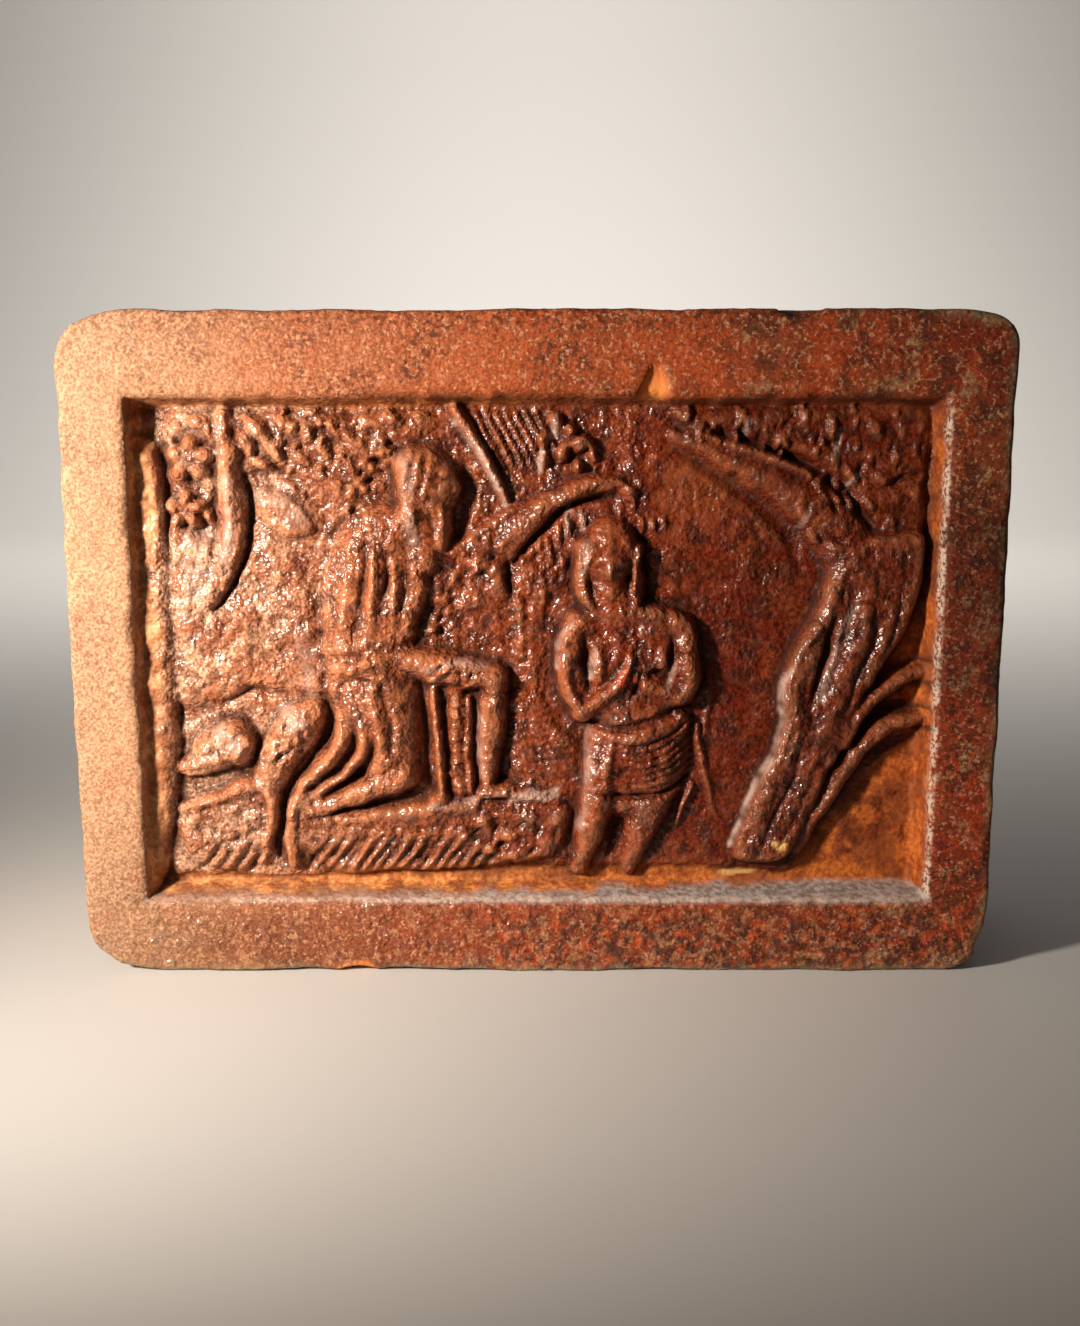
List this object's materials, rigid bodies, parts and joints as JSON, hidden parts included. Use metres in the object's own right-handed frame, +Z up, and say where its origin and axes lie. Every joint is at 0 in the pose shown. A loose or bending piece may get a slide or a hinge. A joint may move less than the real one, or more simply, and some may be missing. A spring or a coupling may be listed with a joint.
{
  "type": "relief plaque",
  "caption": "Thick fired-clay relief plaque: a rectangular moulded block whose sunk front panel carries a figure scene in low relief between plain worn borders.",
  "frame": {"origin": "middle of the underside, at the centre of the block's footprint", "axes": "+X to the right seen from the front, -Y out of the carved front, +Z up"},
  "size_m": [0.16, 0.05, 0.115],
  "materials": {
    "fired_clay": "worn red-brown clay slip with a low gloss, raw orange clay on the edges"
  },
  "bodies": {
    "root": {"relief_plaque": "fired_clay"}
  },
  "joints": []
}
